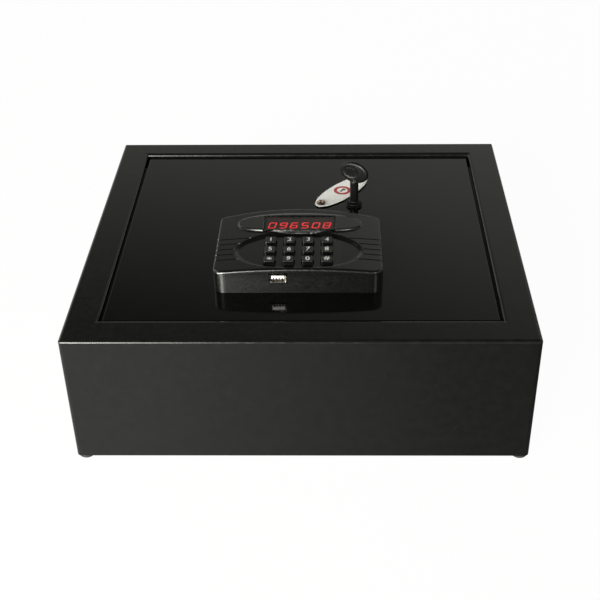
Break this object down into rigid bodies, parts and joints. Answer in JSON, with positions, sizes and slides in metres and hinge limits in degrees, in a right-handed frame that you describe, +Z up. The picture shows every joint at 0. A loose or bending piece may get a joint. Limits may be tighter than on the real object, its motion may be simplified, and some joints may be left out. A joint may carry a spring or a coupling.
{
  "type": "laptop safe",
  "caption": "Low black steel safe with a flush top lid, a keypad and display console, an override key with a swivelling keyhole cover, and a bolt worked by motor or key.",
  "frame": {"origin": "on the floor under the middle of the case", "axes": "+X to the right, -Y towards the front, +Z up"},
  "size_m": [0.4, 0.36, 0.1748],
  "materials": {
    "case_paint": "black powder coat with a fine orange peel",
    "lid_paint": "smooth satin black paint",
    "rubber_black": "matt moulded rubber",
    "mat_felt": "needled felt",
    "zinc_steel": "bright zinc plate",
    "dark_screws": "black oxide",
    "brass": "turned brass",
    "black_plastic": "moulded, fine grain",
    "console_plastic": "moulded, satin with a fine grain",
    "key_plastic": "moulded, smooth",
    "cell_wrap": "printed shrink wrap, plain",
    "board_green": "solder mask",
    "display_red": "smoked red acrylic",
    "socket_metal": "nickel plate",
    "cover_white": "white enamel with a plain red mark",
    "pivot_nickel": "nickel plate",
    "reset_red": "moulded"
  },
  "bodies": {
    "case": {"case_shell": "case_paint", "floor_plate": "case_paint", "rest_ledge": "case_paint", "lid_bumpers": "rubber_black", "corner_feet": "rubber_black", "floor_mat": "mat_felt", "hinge_brackets": "case_paint", "hinge_pins": "zinc_steel", "hinge_springs": "zinc_steel"},
    "lid": {"lid_plate": "lid_paint", "hinge_lugs": "lid_paint", "mechanism_cover": "lid_paint", "cover_screws": "dark_screws", "bolt_bushings": "brass", "guide_posts": "zinc_steel", "motor_bracket": "zinc_steel", "gear_housing": "black_plastic", "drive_motor": "zinc_steel", "battery_holder": "black_plastic", "battery_cells": "cell_wrap", "reset_switch": "black_plastic", "limit_switch": "black_plastic", "lock_barrel": "zinc_steel", "lock_nut": "zinc_steel", "cover_pivot": "pivot_nickel", "cable_grommet": "rubber_black", "wiring": "black_plastic", "console_base": "black_plastic", "console_screws": "dark_screws", "circuit_board": "board_green", "keypad_mat": "rubber_black", "display_module": "black_plastic", "usb_socket": "socket_metal", "console_cover": "console_plastic", "display_window": "display_red"},
    "bolt_work": {"bolt_carriage": "zinc_steel", "lock_bolts": "zinc_steel", "bolt_nuts": "zinc_steel"},
    "motor_pinion": {"motor_pinion": "brass"},
    "plug": {"lock_plug": "brass", "lock_pinion": "zinc_steel"},
    "override_key": {"key_grip": "key_plastic", "key_tube": "zinc_steel"},
    "cover_plate": {"keyhole_cover": "cover_white"},
    "battery_hatch": {"battery_door": "black_plastic"},
    "reset": {"reset_button": "reset_red"},
    "key_1_cap": {"key_1": "key_plastic"},
    "key_2_cap": {"key_2": "key_plastic"},
    "key_3_cap": {"key_3": "key_plastic"},
    "key_4_cap": {"key_4": "key_plastic"},
    "key_5_cap": {"key_5": "key_plastic"},
    "key_6_cap": {"key_6": "key_plastic"},
    "key_7_cap": {"key_7": "key_plastic"},
    "key_8_cap": {"key_8": "key_plastic"},
    "key_star_cap": {"key_star": "key_plastic"},
    "key_9_cap": {"key_9": "key_plastic"},
    "key_0_cap": {"key_0": "key_plastic"},
    "key_hash_cap": {"key_hash": "key_plastic"}
  },
  "joints": [
    {"name": "lid_hinge", "type": "hinge", "parent": "case", "child": "lid", "pos_m": [0, 0.142, 0.118], "axis": [-1, 0, 0], "range_deg": [0, 100]},
    {"name": "bolt_slide", "type": "slide", "parent": "lid", "child": "bolt_work", "axis": [0, -1, 0], "range_m": [0, 0.01178]},
    {"name": "pinion_spin", "type": "hinge", "parent": "lid", "child": "motor_pinion", "pos_m": [-0.026, 0, 0.118], "axis": [0, 0, 1], "range_deg": [-113, 0]},
    {"name": "lock_turn", "type": "hinge", "parent": "lid", "child": "plug", "pos_m": [0.048, 0.0495, 0.115], "axis": [0, 0, 1], "range_deg": [0, 90]},
    {"name": "key_pull", "type": "slide", "parent": "plug", "child": "override_key", "axis": [0, 0, 1], "range_m": [0, 0.02]},
    {"name": "cover_swing", "type": "hinge", "parent": "lid", "child": "cover_plate", "pos_m": [0.0153, 0.0482, 0.129], "axis": [0, 0, 1], "range_deg": [-8, 60]},
    {"name": "hatch_slide", "type": "slide", "parent": "lid", "child": "battery_hatch", "axis": [0, -1, 0], "range_m": [0, 0.056]},
    {"name": "reset_press", "type": "slide", "parent": "lid", "child": "reset", "axis": [0, 0, 1], "range_m": [0, 0.0015], "stiffness_N_per_m": 250},
    {"name": "key_1_press", "type": "slide", "parent": "lid", "child": "key_1_cap", "axis": [0, 0, -1], "range_m": [0, 0.001], "stiffness_N_per_m": 250},
    {"name": "key_2_press", "type": "slide", "parent": "lid", "child": "key_2_cap", "axis": [0, 0, -1], "range_m": [0, 0.001], "stiffness_N_per_m": 250},
    {"name": "key_3_press", "type": "slide", "parent": "lid", "child": "key_3_cap", "axis": [0, 0, -1], "range_m": [0, 0.001], "stiffness_N_per_m": 250},
    {"name": "key_4_press", "type": "slide", "parent": "lid", "child": "key_4_cap", "axis": [0, 0, -1], "range_m": [0, 0.001], "stiffness_N_per_m": 250},
    {"name": "key_5_press", "type": "slide", "parent": "lid", "child": "key_5_cap", "axis": [0, 0, -1], "range_m": [0, 0.001], "stiffness_N_per_m": 250},
    {"name": "key_6_press", "type": "slide", "parent": "lid", "child": "key_6_cap", "axis": [0, 0, -1], "range_m": [0, 0.001], "stiffness_N_per_m": 250},
    {"name": "key_7_press", "type": "slide", "parent": "lid", "child": "key_7_cap", "axis": [0, 0, -1], "range_m": [0, 0.001], "stiffness_N_per_m": 250},
    {"name": "key_8_press", "type": "slide", "parent": "lid", "child": "key_8_cap", "axis": [0, 0, -1], "range_m": [0, 0.001], "stiffness_N_per_m": 250},
    {"name": "key_star_press", "type": "slide", "parent": "lid", "child": "key_star_cap", "axis": [0, 0, -1], "range_m": [0, 0.001], "stiffness_N_per_m": 250},
    {"name": "key_9_press", "type": "slide", "parent": "lid", "child": "key_9_cap", "axis": [0, 0, -1], "range_m": [0, 0.001], "stiffness_N_per_m": 250},
    {"name": "key_0_press", "type": "slide", "parent": "lid", "child": "key_0_cap", "axis": [0, 0, -1], "range_m": [0, 0.001], "stiffness_N_per_m": 250},
    {"name": "key_hash_press", "type": "slide", "parent": "lid", "child": "key_hash_cap", "axis": [0, 0, -1], "range_m": [0, 0.001], "stiffness_N_per_m": 250}
  ],
  "couplings": [
    {"joint": "pinion_spin", "follows": "bolt_slide", "rad_per_m": -166.67},
    {"joint": "lock_turn", "follows": "bolt_slide", "rad_per_m": 133.33}
  ]
}
